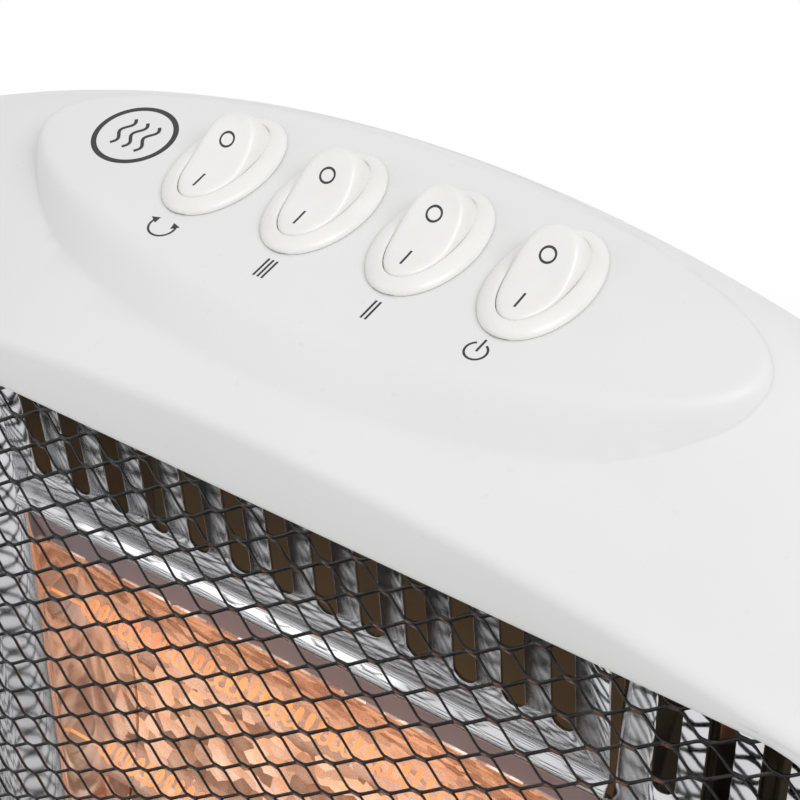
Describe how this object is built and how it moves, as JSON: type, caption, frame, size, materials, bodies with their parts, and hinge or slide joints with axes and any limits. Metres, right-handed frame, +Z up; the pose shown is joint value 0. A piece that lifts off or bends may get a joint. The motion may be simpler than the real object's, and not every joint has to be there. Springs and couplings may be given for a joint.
{
  "type": "parabolic heater",
  "caption": "Free-standing quartz heater with a parabolic reflector behind a mesh guard, rocker switches in a raised oval panel and an oscillating head on an oval stand.",
  "frame": {"origin": "on the floor under the swivel axis, in the middle of the stand", "axes": "+Z up along the swivel axis, -Y the way the heater faces, +X to the right when it is seen from the front"},
  "size_m": [0.308, 0.198, 0.3898],
  "materials": {
    "housing": "satin white moulding",
    "switches": "glossy warm white",
    "guard": "gloss black stove enamel on expanded steel",
    "reflector": "mirror bright, trough hammered",
    "quartz": "clear",
    "heating_coil": "glowing resistance wire",
    "ceramic": "unglazed",
    "plated_steel": "zinc plated",
    "nylon": "natural",
    "black_plastic": "moulded",
    "rubber": "matt"
  },
  "bodies": {
    "stand": {"stand_cover": "housing", "weight_plate": "plated_steel", "foot_front_left": "rubber", "foot_front_right": "rubber", "foot_rear_left": "rubber", "foot_rear_right": "rubber", "stand_screw_1": "plated_steel", "stand_screw_2": "plated_steel", "stand_screw_3": "plated_steel", "stand_screw_4": "plated_steel", "tip_switch": "black_plastic", "cable_inlet": "black_plastic", "gear_motor": "plated_steel", "swivel_bearing": "nylon"},
    "head": {"front_housing": "housing", "control_panel": "housing", "rear_housing": "housing", "handle_cup": "black_plastic", "case_screw_1": "plated_steel", "case_screw_2": "plated_steel", "case_screw_3": "plated_steel", "case_screw_4": "plated_steel", "switch_body_1": "switches", "switch_body_2": "switches", "switch_body_3": "switches", "switch_body_4": "switches", "guard": "guard", "reflector": "reflector", "bracket_left": "reflector", "bracket_right": "reflector", "quartz_tube_1": "quartz", "quartz_tube_2": "quartz", "quartz_tube_3": "quartz", "filament_1": "heating_coil", "filament_2": "heating_coil", "filament_3": "heating_coil", "tube_cap_left_1": "ceramic", "tube_cap_left_2": "ceramic", "tube_cap_left_3": "ceramic", "tube_cap_right_1": "ceramic", "tube_cap_right_2": "ceramic", "tube_cap_right_3": "ceramic", "heat_shield": "plated_steel", "thermal_cut_out": "black_plastic", "terminal_block": "nylon", "swivel_column": "housing", "clamp_ring": "nylon", "yoke_arm": "plated_steel"},
    "rocker_1": {"rocker_1": "switches"},
    "rocker_2": {"rocker_2": "switches"},
    "rocker_3": {"rocker_3": "switches"},
    "rocker_4": {"rocker_4": "switches"},
    "crank": {"crank": "nylon"},
    "tip_plunger": {"tip_plunger": "black_plastic"}
  },
  "joints": [
    {"name": "head_swivel", "type": "hinge", "parent": "stand", "child": "head", "pos_m": [0, 0, 0.05], "axis": [0, 0, 1], "range_deg": [-35, 35]},
    {"name": "crank_turn", "type": "hinge", "parent": "stand", "child": "crank", "pos_m": [0, 0.024, 0.04], "axis": [0, 0, 1], "range_deg": [-126, 126]},
    {"name": "rocker_1_press", "type": "hinge", "parent": "head", "child": "rocker_1", "pos_m": [-0.0375, -0.01561, 0.37814], "axis": [1, 0, 0], "range_deg": [-40, 0]},
    {"name": "rocker_2_press", "type": "hinge", "parent": "head", "child": "rocker_2", "pos_m": [-0.0125, -0.01561, 0.37814], "axis": [1, 0, 0], "range_deg": [-40, 0]},
    {"name": "rocker_3_press", "type": "hinge", "parent": "head", "child": "rocker_3", "pos_m": [0.0125, -0.01561, 0.37814], "axis": [1, 0, 0], "range_deg": [-40, 0]},
    {"name": "rocker_4_press", "type": "hinge", "parent": "head", "child": "rocker_4", "pos_m": [0.0375, -0.01561, 0.37814], "axis": [1, 0, 0], "range_deg": [-40, 0]},
    {"name": "tip_plunger_drop", "type": "slide", "parent": "stand", "child": "tip_plunger", "axis": [0, 0, -1], "range_m": [0, 0.005], "stiffness_N_per_m": 150, "springref_m": 0.008}
  ],
  "couplings": [
    {"joint": "crank_turn", "follows": "head_swivel", "ratio": 3.571}
  ]
}
